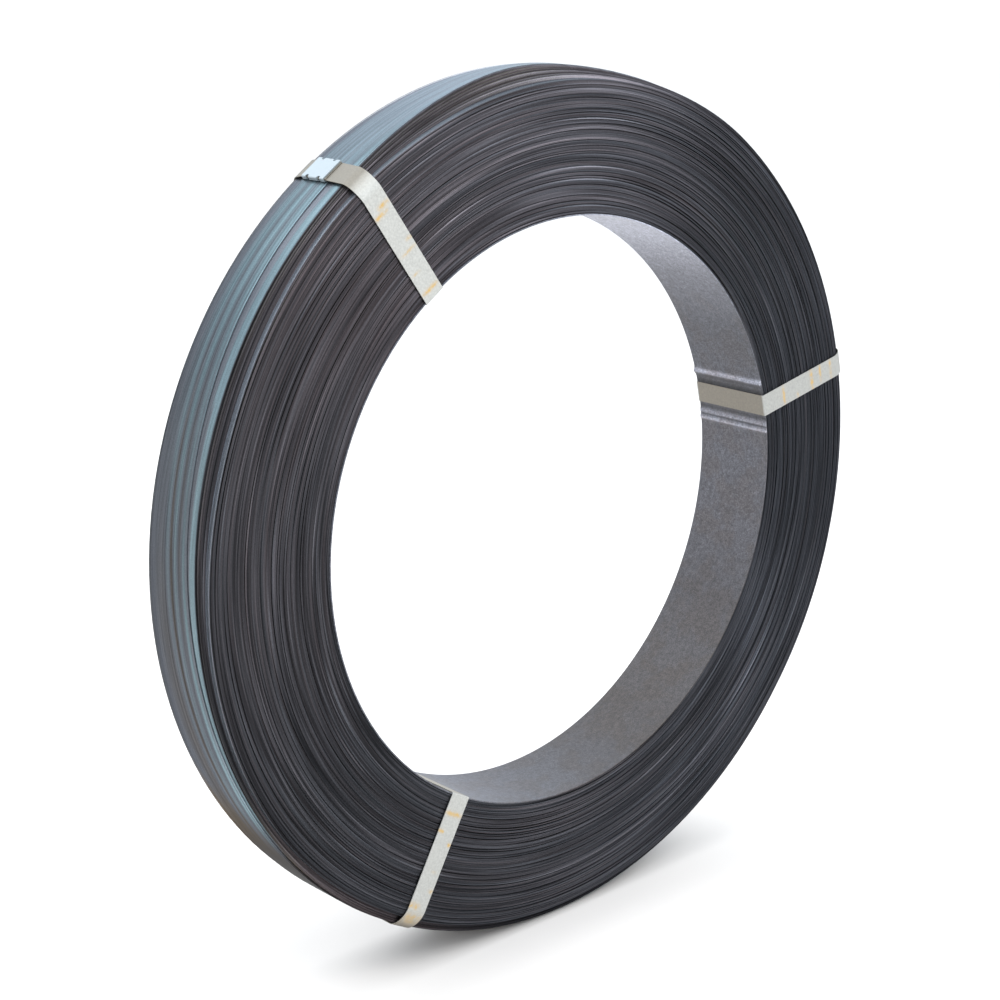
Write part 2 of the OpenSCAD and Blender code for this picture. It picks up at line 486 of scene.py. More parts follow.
def make_zinc_material(finish):
    """Galvanised strap, with khaki stretches, painted light and shade, and rust stains where the mesh carries
    them.
    """
    material, nodes, shader = new_material("galvanised_band")
    grain = nodes.grain(700.0)
    stain = nodes.carried("stain")
    khaki_share = nodes.carried("khaki_share")
    shade = nodes.carried("shade")
    blotch = nodes.grain(240.0)
    ragged = nodes.math("MULTIPLY", stain, nodes.band(blotch, *RAGGED_RANGE, *RAGGED_STAIN))
    clean = nodes.mix(khaki_share, colour(finish.zinc), colour(finish.khaki))
    # The carried shade is painted light and shade: each band brighter or darker as a whole, and darker on the
    # rim.
    lightness_factor = nodes.math("MULTIPLY", shade, nodes.between(grain, 0.85, 1.15))
    nodes.feed(shader["Base Color"], nodes.mix(ragged, nodes.toned(clean, lightness_factor), colour(finish.rust)))
    nodes.feed(shader["Roughness"], nodes.between(grain, 0.42, 0.58))
    nodes.feed(shader["Metallic"], nodes.between(ragged, 0.35, 0.0))
    nodes.emboss(shader, 0.1, grain)
    return material


def make_seal_material(finish):
    """Bright zinc sheet of the seals."""
    material, nodes, shader = new_material("seal_sheet")
    grain = nodes.grain(500.0)
    nodes.feed(shader["Base Color"], nodes.toned(colour(finish.seal_zinc), nodes.between(grain, 0.95, 1.05)))
    nodes.feed(shader["Roughness"], nodes.between(grain, 0.35, 0.5))
    shader["Metallic"].default_value = 0.3
    return material


def new_piece(name, points, faces, material, replaced, values=None):
    """Adds a mesh piece that rides with the coil; values holds point attributes by name."""
    mesh = bpy.data.meshes.new(name)
    mesh.from_pydata(np.asarray(points).tolist(), [], [list(face) for face in faces])
    piece = bpy.data.objects.new(name, mesh)
    bpy.context.scene.collection.objects.link(piece)
    mesh.materials.append(material)
    mesh.polygons.foreach_set("use_smooth", [True] * len(mesh.polygons))
    mesh.set_sharp_from_angle(angle=SHARP_ANGLE)
    for key, data in (values or {}).items():
        mesh.attributes.new(key, "FLOAT", "POINT").data.foreach_set("value", np.ravel(data))
    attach(piece, "root")
    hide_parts(replaced)
    return piece


def loop_faces(rows, ring, joined):
    """Faces between rows of ring points each; joined closes the last row to the first."""
    first = np.arange(rows if joined else rows - 1)[:, None] * ring
    second = (first + ring) % (rows * ring)
    place = np.arange(ring)[None, :]
    following = (place + 1) % ring
    faces = np.stack((first + place, first + following, second + following, second + place), axis=-1)
    return faces.reshape(-1, 4).tolist()


def turned(angles, radius, depth):
    """Points and faces of a closed ring; radius and depth have a row for each angle."""
    turn = np.asarray(angles)[:, None]
    points = np.stack((radius * np.cos(turn), depth, radius * np.sin(turn)), axis=-1)
    return points.reshape(-1, 3), loop_faces(*radius.shape, joined=True)


def ring_angles(count):
    return np.arange(count) * 2 * np.pi / count


def around(angles, places):
    """A smooth value round the coil through a few places, each an angle in degrees and a value."""
    degrees, values = zip(*places)
    smooth = np.interp(np.degrees(angles), degrees, values, period=360)
    for reach in (1, 2):
        smooth = (np.roll(smooth, reach) + smooth + np.roll(smooth, -reach)) / 3
    return smooth


def bump_at(angles, degrees, reach):
    """A bump of height 1 round an angle, with its half width, both in degrees."""
    off = (np.degrees(angles) - degrees + 180) % 360 - 180
    return np.exp(-((off / reach) ** 2))


def ripple(rng, count, angles, lobes):
    """Random waves round the coil for each of count turns, of mean 0 and about unit size."""
    order = np.arange(1, lobes + 1)[:, None] * angles
    cosine, sine = rng.normal(0, 1, (2, count, lobes))
    return (cosine @ np.cos(order) + sine @ np.sin(order)) / math.sqrt(lobes)


def turn_edges(sizes):
    """Radius of the inner side of each turn, and of the outer side of the last one."""
    count = round((COIL_R - BORE_R) / sizes.turn_t)
    return np.linspace(BORE_R, COIL_R, count + 1)


def smooth_setback(sizes, depth):
    """Setback of the end at a depth below the rim: rounded shoulder and slack turns."""
    within = np.clip(1 - depth / sizes.shoulder_depth, 0, 1) ** sizes.shoulder_power
    shoulder = sizes.shoulder_setback * (1 - (1 - within) ** (1 / sizes.shoulder_power))
    return np.maximum(shoulder, np.where(depth < sizes.slack_depth, sizes.slack_setback, 0))


# The lists below give places round the coil, each an angle in degrees and a value.
# How far the slack turns have slid back from the front end, in millimetres.
SLACK_SLID = (
    (60, 0), (70, 10), (80, 26), (88, 32), (95, 25), (100, 19.5), (105, 14.5), (110, 10.5),
    (115, 7.3), (120, 4.6), (125, 3), (145, 2.2), (167, 0.3), (181, -1.2), (200, -1), (240, 0),
)
# How far the outermost turn lies behind the slack turns, in millimetres.
OUTER_BEHIND = (
    (60, 9), (78, 0.4), (125, 0.4), (125.5, 13.5), (145, 13.8), (152, 13), (167, 10), (181, 7.5),
    (193, 5.5), (205, 4.5), (240, 5), (300, 9),
)
# How far the flank below the slack turns strays outwards, in millimetres.
FLANK_STRAY = (
    (60, 0), (115, -1), (128, 0.8), (145, -0.5), (160, -1.5), (175, 0), (184, 1.2), (200, 2.5),
    (215, 2.5), (235, 0),
)
# Tone of the turn edges: painted light and shade round the coil, with painted highlights at the top and the
# bottom. Then their mauve tint, and how strong the streaks in them are.
EDGE_TONE = (
    (0, 1.5), (30, 1.65), (45, 1.45), (60, 1.5), (75, 1.8), (90, 1.73), (105, 1.34), (120, 1.18),
    (135, 1.17), (150, 1.14), (165, 1.03), (180, 1.04), (197, 0.8), (212, 0.86), (228, 1.07), (242, 1.42),
    (257, 1.78), (270, 2.25), (285, 2.0), (300, 1.72), (315, 1.72), (330, 2.1), (345, 1.5),
)
EDGE_TINT = (
    (0, 0), (60, 0.2), (75, 0.25), (120, 0.4), (135, 0.55), (150, 0.4), (165, 0.25), (190, 0.2),
    (230, 0.1), (270, 0.2), (300, 0.1),
)
EDGE_CONTRAST = (
    (0, 0.55), (45, 0.55), (65, 0.55), (85, 0.85), (110, 1.15), (135, 1), (180, 1), (200, 1.3),
    (225, 1.25), (250, 0.8), (275, 0.65), (300, 1.2), (330, 1.3), (345, 0.55),
)
# Tone of the slack turns' edges: painted light round the coil, brightest at the top. Their further tint,
# mostly a painted reflection of a brown floor low on the left. And how much the dark lines take off their
# tone.
SLACK_TONE = (
    (60, 1.2), (72, 2), (82, 2.5), (92, 2.5), (100, 2.2), (112, 1.7), (125, 1.3), (145, 1.25),
    (180, 1.15), (200, 1), (212, 1.2), (235, 1.2), (250, 1),
)
SLACK_TINT = ((60, 0.1), (100, 0.2), (125, 0), (200, 0), (212, 0.6), (240, 0.6), (255, 0))
DARK_LINE = ((60, 0.1), (108, 0.15), (127, 0.6), (203, 0.6), (214, 0.1), (245, 0.1), (256, 0.6))
# Tone of the flank below the slack turns and of the margin beside the outermost turn, on the front half:
# painted highlights, brightest on the left.
FLANK_TONE = (
    (60, 1.2), (85, 2.2), (100, 2), (116, 2.4), (130, 3.4), (150, 4.4), (170, 6), (185, 6.5),
    (200, 4.5), (213, 1.5), (300, 1.2),
)
MARGIN_TONE = ((60, 1.2), (125, 1.05), (150, 1.45), (180, 1.8), (205, 1.9), (225, 1.5), (300, 1.2))
# Tone of the rim: painted light round the coil, a painted highlight near the top and painted shade low on
# the left. Then how blue it is, and how strong the lines along it are.
RIM_TONE = (
    (20, 1.1), (45, 1.5), (60, 2.3), (75, 4), (86, 5), (95, 5.6), (105, 4.8), (115, 2.9), (125, 2.2),
    (135, 1.65), (150, 1.46), (165, 1.62), (180, 1.48), (195, 1.95), (204, 2.5), (211, 3), (217, 0.7),
    (224, 0.35), (236, 0.25), (260, 0.7), (300, 1), (345, 1.1),
)
RIM_BLUE = (
    (60, 0.6), (95, 0.25), (110, 0.3), (135, 0.8), (150, 0.45), (165, 0.2), (180, 0.05), (200, 0.1),
    (212, 0.25), (225, 0), (300, 0.4),
)
LINE_STRENGTH = (
    (60, 0.2), (95, 0.2), (120, 0.25), (127, 1.25), (190, 1.4), (200, 1.7), (211, 1.9), (219, 0.5),
    (300, 0.8),
)
# How far the outermost turn's front edge is rounded off, as a share of its thickness.
OUTER_ROUND = ((60, 0), (123, 0), (129, 0.25), (150, 0.4), (165, 0.6), (210, 0.6), (230, 0.3), (300, 0.3))

# Painted glints on the front end: stretches of turns made brighter as painted highlights, a few made darker.
# Columns: depth below the rim in millimetres, angle and half length in degrees, gain in tone, brown tint.
GLINTS = (
    (13.5, 84, 8, 1.3, 0),
    (15.5, 70, 6, 0.9, 0),
    (32, 82, 8, 1.5, 0),
    (38, 84, 8, 1.2, 0),
    (45, 84, 10, 1.5, 0),
    (65, 88, 14, 1.8, 0),
    (73, 84, 8, 0.9, 0),
    (88.5, 84, 8, 1.1, 0),
    (1.2, 78, 11, -0.5, 0),
    (2.6, 78, 11, -0.45, 0),
    (5.2, 82, 12, 0.9, 0.5),
    (6.4, 82, 12, 0.8, 0.5),
    (46, 172, 22, 1.0, 0.5),
    (32, 180, 24, 0.8, 0.3),
    (80, 172, 14, 0.6, 0),
    (36, 285, 26, 0.8, 0),
    (62, 265, 18, 0.6, 0),
    (66, 32, 12, 0.8, 0),
)

# Waves round the coil: in how far a turn lies back, in its streaks, in a group's streaks and a turn's tint,
# in the stray from true circles, and in the lines along the rim.
SETBACK_WAVES = 8
STREAK_WAVES = 14
GROUP_WAVES = 6
STRAY_WAVES = 4
RIM_WAVES = 5
# Turns in a group: the fewest, and one more than the most.
GROUP_TURNS = (2, 6)
# Share of the scatter that the slack turns keep.
SLACK_SCATTER = 0.25
# How strong the streaks of a turn and of a group are, and the tone of a group's last turn and of the others.
TURN_STREAK = 0.26
GROUP_STREAK = 0.1
LAST_TONE = 0.7
TURN_TONE = 1.05
# Half width of a dark line or of a painted glint.
LINE_HALF = 0.8 * MM
# How far the tint of a turn varies, its shift, and its upper limit.
TINT_SCATTER = 0.1
TINT_SHIFT = -0.03
TINT_LIMIT = 0.7
# Places between the bore and the flank at which the stray is drawn.
STRAY_KNOTS = 6
# How far the inner side, the middle and the outer side of a turn's edge fall back, as shares of its rounding.
EDGE_PROFILE = (0.1, 0.2, 1.0)
# Tint of the flank, which makes its painted highlight bluer, and the even tones of the flank and the margin
# on the rear half.
FLANK_TINT = -0.15
REAR_FLANK_TONE = 1.2
REAR_MARGIN_TONE = 0.9
# Where the rows of the margin start, as a share of the way to the edge, and over how much it bends down.
MARGIN_START = 0.95
DROP_REACH = 8 * MM
# Brown on the rim, a painted reflection of a brown floor, in degrees: where it starts at the front edge, how
# much sooner at the rear edge, how soft that start is, where it ends, and over how much it fades out. Then
# the depths of both edges in millimetres.
BROWN_START = 216
BROWN_LEAN = 8
BROWN_SOFT = 8
BROWN_END = 300
BROWN_FADE = 50
BROWN_FRONT = -27
BROWN_REAR = 20


def warm_share(angles, y):
    """Share of brown on the rim, a painted reflection of a brown floor: it lies low on the left, and reaches
    further round at the rear edge.
    """
    degrees = np.degrees(angles)[:, None]
    start = BROWN_START - BROWN_LEAN * (y / MM - BROWN_FRONT) / (BROWN_REAR - BROWN_FRONT)
    begun = np.clip((degrees - start) / BROWN_SOFT + 0.5, 0, 1)
    return begun * np.clip((BROWN_END - degrees) / BROWN_FADE, 0, 1)


def lying_back(rng, count, angles):
    """Random shares from 0 to 1 for each of count turns, smooth round the coil."""
    return 0.5 + 0.5 * np.tanh(ripple(rng, count, angles, SETBACK_WAVES))


def line_at(depth, place):
    """A line of height 1 at a depth below the rim."""
    return np.exp(-(((depth - place) / LINE_HALF) ** 2))


class TurnEnd:
    """One end of the winding, round the coil: how far each turn lies back, its tone, which carries painted
    light and shade, and its tint.
    """

    def __init__(self, sizes, angles, seed, slid, slid_flank):
        rng = np.random.default_rng(seed)
        self.radii = turn_edges(sizes)
        depth = COIL_R - self.radii[1:]
        count = len(depth)
        slack = depth < sizes.slack_depth
        group = np.searchsorted(np.cumsum(rng.integers(*GROUP_TURNS, count)), np.arange(count), side="right")
        last = np.append(np.diff(group) > 0, False)[:, None]
        back = sizes.group_depth * lying_back(rng, count, angles)[group]
        back += sizes.turn_scatter * lying_back(rng, count, angles)
        back += np.where(last, sizes.gap_depth * lying_back(rng, count, angles), 0)
        back *= np.where(slack, SLACK_SCATTER, 1)[:, None]
        share = np.clip((sizes.slack_depth - depth) / (sizes.slack_depth - sizes.turn_t), 0, 1)[:, None]
        self.setback = smooth_setback(sizes, depth)[:, None] + back + share * slid
        streaks = TURN_STREAK * ripple(rng, count, angles, STREAK_WAVES)
        streaks += GROUP_STREAK * ripple(rng, count, angles, GROUP_WAVES)[group]
        self.tone = np.exp(streaks * around(angles, EDGE_CONTRAST))
        self.tone *= np.where(last, LAST_TONE, TURN_TONE)
        # Painted light and shade round the coil, on the slack turns' edges and on the others.
        self.tone *= np.where(slack[:, None], around(angles, SLACK_TONE), around(angles, EDGE_TONE))
        for place in sizes.dark_lines:
            self.tone *= 1 - line_at(depth, place)[:, None] * around(angles, DARK_LINE)
        # The slack turns' tint paints, low on the left, the reflection of a brown floor.
        tint = around(angles, EDGE_TINT) + np.where(slack[:, None], around(angles, SLACK_TINT), 0)
        scatter = TINT_SCATTER * ripple(rng, count, angles, GROUP_WAVES)
        self.tint = np.clip(scatter + TINT_SHIFT + tint, 0, TINT_LIMIT)
        flank_r = COIL_R - sizes.slack_depth
        knots = np.append(np.linspace(self.radii[1], flank_r, STRAY_KNOTS), COIL_R - sizes.turn_t)
        stray = sizes.wander * ripple(rng, len(knots), angles, STRAY_WAVES)
        stray[(0, -1), :] = 0
        stray[-2] = MM * slid_flank
        self.strayed = np.stack([self.radii + np.interp(self.radii, knots, row) for row in stray.T], axis=-1)

    def mark(self, angles):
        """Adds the painted glints: stretches of turns made brighter, a few darker, some tinted."""
        depth = COIL_R - self.radii[1:, None]
        for place, degrees, reach, gain, tint in GLINTS:
            there = line_at(depth, place * MM) * bump_at(angles, degrees, reach)
            self.tone *= 1 + gain * there
            self.tint = np.maximum(self.tint, tint * there)


class STEELCOIL_OT_wound_turns(Operator):
    """Winds the turns of strap, as a front half and a rear half with stepped ends"""

    bl_idname = "steel_coil.wound_turns"
    bl_label = "Wound turns"

    def execute(self, context):
        sizes = context.scene.coil_sizes
        material = make_strap_material(context.scene.coil_finishes)
        angles = ring_angles(sizes.steps_around)
        slid = MM * around(angles, SLACK_SLID)
        front = TurnEnd(sizes, angles, sizes.seed, slid, around(angles, FLANK_STRAY))
        front.mark(angles)
        flank, margin = around(angles, FLANK_TONE), around(angles, MARGIN_TONE)
        self.wind(sizes, angles, front, "front_turns", -1, flank, margin, material)
        still, even = np.zeros(len(angles)), np.ones(len(angles))
        rear = TurnEnd(sizes, angles, sizes.seed + 1, still, still)
        flank, margin = REAR_FLANK_TONE * even, REAR_MARGIN_TONE * even
        self.wind(sizes, angles, rear, "rear_turns", 1, flank, margin, material)
        return {"FINISHED"}

    def wind(self, sizes, angles, end, name, side, flank_tone, edge_tone, material):
        """Makes one half: the rounded edges of its turns, the margin of the last one and the middle."""
        turns = slice(1, len(end.radii) - 2)
        inner, outer = end.strayed[:-1][turns].T, end.strayed[1:][turns].T
        back = end.setback[turns].T
        rounds = sizes.edge_round * np.array(EDGE_PROFILE)
        rows, each = len(angles), len(EDGE_PROFILE)
        radius = np.stack((inner, (inner + outer) / 2, outer), axis=-1).reshape(rows, -1)
        away = HALF_W - (back[:, :, None] + rounds).reshape(rows, -1)
        tone = np.repeat(end.tone[turns].T, each, axis=1)
        tint = np.repeat(end.tint[turns].T, each, axis=1)
        flank = each * np.argmax(COIL_R - outer[0] < sizes.slack_depth)
        # The flank gets a painted highlight and a bluer tint.
        tone[:, flank - 1:flank + 1] = flank_tone[:, None]
        tint[:, flank - 1:flank + 1] = FLANK_TINT
        share = np.linspace(MARGIN_START, 0, MARGIN_ROWS)
        meet = side * sizes.meet
        margin = meet + (away[:, -1:] - meet) * share
        from_edge = away[:, -1:] - margin
        on_margin = from_edge < sizes.margin
        # Painted light: the margin beside the outermost turn gets a painted highlight, and all of it the
        # rim's painted light.
        margin_tone = np.where(on_margin, edge_tone[:, None], 1.0) * around(angles, RIM_TONE)[:, None]
        warm = warm_share(angles, side * margin)
        # The front margin is blue where the painted reflection of a brown floor does not lie, and brown where
        # it does.
        margin_tint = np.where(on_margin & (side < 0), 2 * warm - 1, warm)
        drop = sizes.margin_drop * np.clip((sizes.outer_setback - (HALF_W - margin)) / DROP_REACH, 0, 1)
        radius = np.concatenate((radius, outer[:, -1:] - drop, inner[:, :1]), axis=1)
        away = np.concatenate((away, margin, margin[:, -1:]), axis=1)
        tone = np.concatenate((tone, margin_tone, margin_tone[:, -1:]), axis=1)
        tint = np.concatenate((tint, margin_tint, margin_tint[:, -1:]), axis=1)
        points, faces = turned(angles, radius, side * away)
        faces = faces if side < 0 else [face[::-1] for face in faces]
        new_piece(name, points, faces, material, "coil", {"tone": tone, "tint": tint})


# Painted light and dark lines along the outermost turn, painted highlights where the gain is above nought and
# painted shade below: distance from its front edge in millimetres, half width, gain in tone.
RIM_LINES = (
    (0.0, 0.6, 0.35),
    (3.2, 1.6, 0.4),
    (7.5, 1.8, -0.12),
    (12.0, 2.0, 0.26),
    (16.0, 1.4, -0.16),
    (20.0, 2.0, 0.16),
    (26.0, 9.0, -0.08),
)
# Painted light on the outermost turn's front edge where it is rounded off, against the shade that falls
# there:
# how much brighter the edge is.
PAINTED_EDGE_LIGHT = 5.0
# Tone of the outermost turn, how far its lines change round the coil, how blue they are, and how strong its
# fine streaks are.
OUTER_TONE = 0.92
LINE_CHANGE = 0.35
LINE_BLUE = 2
OUTER_STREAK = 0.09


class STEELCOIL_OT_outer_turn(Operator):
    """Lays the outermost turn round the winding, with painted light and dark lines along it"""

    bl_idname = "steel_coil.outer_turn"
    bl_label = "Outer turn"

    def execute(self, context):
        sizes = context.scene.coil_sizes
        angles = ring_angles(sizes.steps_around)
        rng = np.random.default_rng(sizes.seed + 2)
        degrees, behind = zip(*OUTER_BEHIND)
        edge = MM * np.interp(np.degrees(angles), degrees, behind, period=360)
        edge += MM * around(angles, SLACK_SLID) + smooth_setback(sizes, np.array([sizes.turn_t]))[0] - HALF_W
        stop = HALF_W - sizes.outer_setback
        share = np.linspace(0, 1, OUTER_ROWS)
        y = edge[:, None] + (stop - edge)[:, None] * share
        from_edge = (y - edge[:, None]) / MM
        tone = np.full(y.shape, OUTER_TONE)
        tint = warm_share(angles, y) - around(angles, RIM_BLUE)[:, None]
        strength = around(angles, LINE_STRENGTH)[:, None]
        for place, half, gain in RIM_LINES:
            line = gain * np.exp(-(((from_edge - place) / half) ** 2))
            line = strength * (1 + LINE_CHANGE * ripple(rng, 1, angles, RIM_WAVES).T) * line
            tone += line
            tint -= LINE_BLUE * line
        tone += rng.normal(0, OUTER_STREAK, len(share)) * ripple(rng, len(share), angles, RIM_WAVES).T
        # Painted light round the rim.
        tone *= around(angles, RIM_TONE)[:, None]
        low = turn_edges(sizes)[-2]
        top = np.full(y.shape, COIL_R)
        rounding = around(angles, OUTER_ROUND)
        top[:, 0] -= sizes.turn_t * rounding
        radius = np.concatenate((top, np.full(y.shape, low)), axis=1)
        depth = np.concatenate((y, y[:, ::-1]), axis=1)
        tone = np.concatenate((tone, tone[:, ::-1]), axis=1)
        # Painted light on the rounded front edge.
        tone[:, -1] *= 1 + PAINTED_EDGE_LIGHT * rounding
        tint = np.concatenate((tint, tint[:, ::-1]), axis=1)
        points, faces = turned(angles, radius, depth)
        faces = [face[::-1] for face in faces]
        material = bpy.data.materials["blued_strap"]
        new_piece("outer_turn", points, faces, material, "coil", {"tone": tone, "tint": tint})
        return {"FINISHED"}


# Wrinkles of the inner turn beside the right tie band: distance from the band's edge, upwards where
# positive, height and half width, in millimetres. Then the painted highlights on them and the painted shade
# beside the band and between them: distance, gain in tone and half width.
WRINKLES = ((9.5, 1.8, 2.2), (-7.0, 0.9, 1.3), (-12.0, 1.3, 1.6))
WRINKLE_LIGHT_AND_SHADE = (
    (10.5, 3.2, 1.5), (6.5, -0.4, 1.6), (1.6, -0.75, 2.4), (-2.5, -0.5, 1.3), (-7.0, 2.4, 1.0),
    (-9.6, -0.4, 1.0), (-12.3, 2.8, 1.3),
)
# Tone and brown tint of the bore, by angle in degrees. The tone is painted light and shade round the bore,
# with a painted highlight high on the right, where the tint also turns away from brown.
BORE_TONE = (
    (-90, 0.7), (-75, 0.57), (-60, 0.5), (-45, 0.56), (-30, 0.63), (-15, 0.86), (0, 0.91), (30, 0.77),
    (45, 1.36), (62, 3.1), (75, 3.1), (100, 1), (240, 1),
)
BORE_TINT = ((-90, 0.5), (-60, 1), (-30, 0.6), (0, 0.3), (30, 0.15), (50, -0.2), (75, -0.2), (240, 0))


def beside_band(off, tie, place, width):
    """A bump of height 1 beside a tie band; off is the way round the bore from the band's middle."""
    middle = np.sign(place) * tie.width / 2 + place * MM
    return np.exp(-(((off - middle) / (width * MM)) ** 2))


class STEELCOIL_OT_inner_turn(Operator):
    """Bends the inner turn that lines the bore, wrinkled beside the right tie band"""

    bl_idname = "steel_coil.inner_turn"
    bl_label = "Inner turn"

    def execute(self, context):
        sizes = context.scene.coil_sizes
        tie = context.scene.tie_sizes
        angles = ring_angles(INNER_FINER * sizes.steps_around)
        off = BORE_R * ((angles - angle_of("tie_band_right") + np.pi) % (2 * np.pi) - np.pi)
        ridge, shade = np.zeros(len(angles)), around(angles, BORE_TONE)
        for place, height, width in WRINKLES:
            ridge += height * MM * beside_band(off, tie, place, width)
        # Painted highlights on the wrinkles and painted shade beside the band.
        for place, gain, width in WRINKLE_LIGHT_AND_SHADE:
            shade *= 1 + gain * beside_band(off, tie, place, width)
        across = np.linspace(-HALF_W, HALF_W, INNER_ROWS)
        inner = np.tile((BORE_R - ridge)[:, None], (1, len(across)))
        radius = np.concatenate((inner, np.full(inner.shape, turn_edges(sizes)[1])), axis=1)
        depth = np.tile(np.concatenate((across, across[::-1])), (len(angles), 1))
        tone = np.tile(shade[:, None], (1, 2 * len(across)))
        tint = np.tile(around(angles, BORE_TINT)[:, None], (1, 2 * len(across)))
        points, faces = turned(angles, radius, depth)
        material = make_bore_material(context.scene.coil_finishes)
        new_piece("inner_turn", points, faces, material, "coil", {"tone": tone, "tint": tint})
        return {"FINISHED"}


def quarter(centre, size, start, steps, power=2.0):
    """Quarter of an ellipse round a centre, from an angle in degrees on; a lower power flattens it."""
    turn = np.radians(start) + np.pi / 2 * np.arange(steps + 1) / steps
    unit = np.stack((np.cos(turn), np.sin(turn)), axis=-1)
    return np.array(centre) + np.array(size) * np.sign(unit) * np.abs(unit) ** (2 / power)


def lap_points(sizes, tie, lap, out, ends):
    """Points of a lap, on the rim or on the rear end, as radius and depth towards the front."""
    if lap == "rim":
        return [(COIL_R + out, along - tie.seal_shift) for along in ends]
    middle = (BORE_R + COIL_R - sizes.shoulder_depth) / 2
    return [(middle + along, -HALF_W - out) for along in ends]


def tie_side(sizes, tie, lap, distance):
    """One side of a tie band in its plane, as radius and depth towards the front."""
    seat_r = math.sqrt(BORE_R**2 - (tie.width / 2) ** 2)
    curve_r, curve_y = COIL_R - sizes.shoulder_depth, HALF_W - sizes.shoulder_setback
    size = (sizes.shoulder_depth + distance, sizes.shoulder_setback + distance)
    bend = (distance, distance)
    front = quarter((curve_r, curve_y), size, 0, SHOULDER_STEPS, sizes.shoulder_power)
    front_edge = quarter((seat_r, HALF_W), bend, 90, BEND_STEPS)
    rear_edge = quarter((seat_r, -HALF_W), bend, 180, BEND_STEPS)
    edges = np.concatenate((front_edge, rear_edge))
    rear = quarter((curve_r, -curve_y), size, 270, SHOULDER_STEPS, sizes.shoulder_power)
    out = tie.lap_lift + distance - tie.gap
    half = tie.seal_l / 2
    start = lap_points(sizes, tie, lap, out, (-half, half))
    stop = lap_points(sizes, tie, lap, out + tie.lap_rise, (-half, half + tie.tail))
    middle = (front, edges, rear) if lap == "rim" else (rear, front, edges)
    return np.concatenate((start, *middle, stop))


def spread(path, spacing):
    """Adds points along a path so that none lie further apart than spacing; returns them as shares."""
    lengths = np.linalg.norm(np.diff(path, axis=0), axis=1)
    places = []
    for i, length in enumerate(lengths):
        count = max(1, math.ceil(length / spacing))
        places.extend(i + np.arange(count) / count)
    return np.array([*places, len(lengths)])


def at_places(path, places):
    """Points of a path at fractional positions."""
    steps = np.arange(len(path))
    return np.stack([np.interp(places, steps, path[:, axis]) for axis in range(2)], axis=-1)


# Rust marks of each band: distance from the bore along the front end in millimetres, place across the
# width from -1 to 1, reach across, reach along in millimetres, strength. On the rear end the distances count
# from the rim.
MARKS = {
    "right": (
        (22, 0.0, 0.9, 1.2, 0.9),
        (37, -0.8, 0.3, 1.0, 0.8),
        (54, 0.0, 1.0, 1.5, 0.9),
        (64, 0.2, 0.8, 1.2, 0.8),
        (76, 0.0, 1.0, 1.2, 0.7),
    ),
    "upper": (
        (6, 0.0, 0.8, 1.4, 1.0),
        (21, 0.4, 0.4, 0.8, 0.5),
        (36.5, -0.1, 0.8, 1.0, 0.7),
        (43, -0.8, 0.3, 1.2, 0.8),
        (68, 0.3, 0.7, 1.5, 0.9),
        (72, -0.3, 0.6, 1.5, 1.0),
    ),
    "lower": (
        (13, 0.0, 0.9, 1.5, 1.0),
        (26, -0.7, 0.35, 1.2, 1.0),
        (34, 0.8, 0.25, 1.2, 1.0),
        (54, 0.3, 0.3, 1.0, 0.3),
        (67, 0.8, 0.25, 1.2, 1.0),
        (79, -0.5, 0.6, 2.0, 1.0),
        (88, 0.0, 1.0, 4.0, 0.6),
    ),
}
# Painted light and shade on the bands: how bright each band is on the ends and in the bore, and the painted
# shade that all have on the rim.
FACE_SHADE = {"right": 0.84, "upper": 1.04, "lower": 0.97}
RIM_SHADE = 0.72
# Over how much the zinc turns khaki beyond the ends, in the bore and on the rim.
KHAKI_BORE = 0.5 * MM
KHAKI_RIM = 6 * MM
# How a mark fades across the band: its share in the middle, held at 1, and what it loses over its reach.
MARK_MIDDLE = 1.6
MARK_LOSS = 1.2


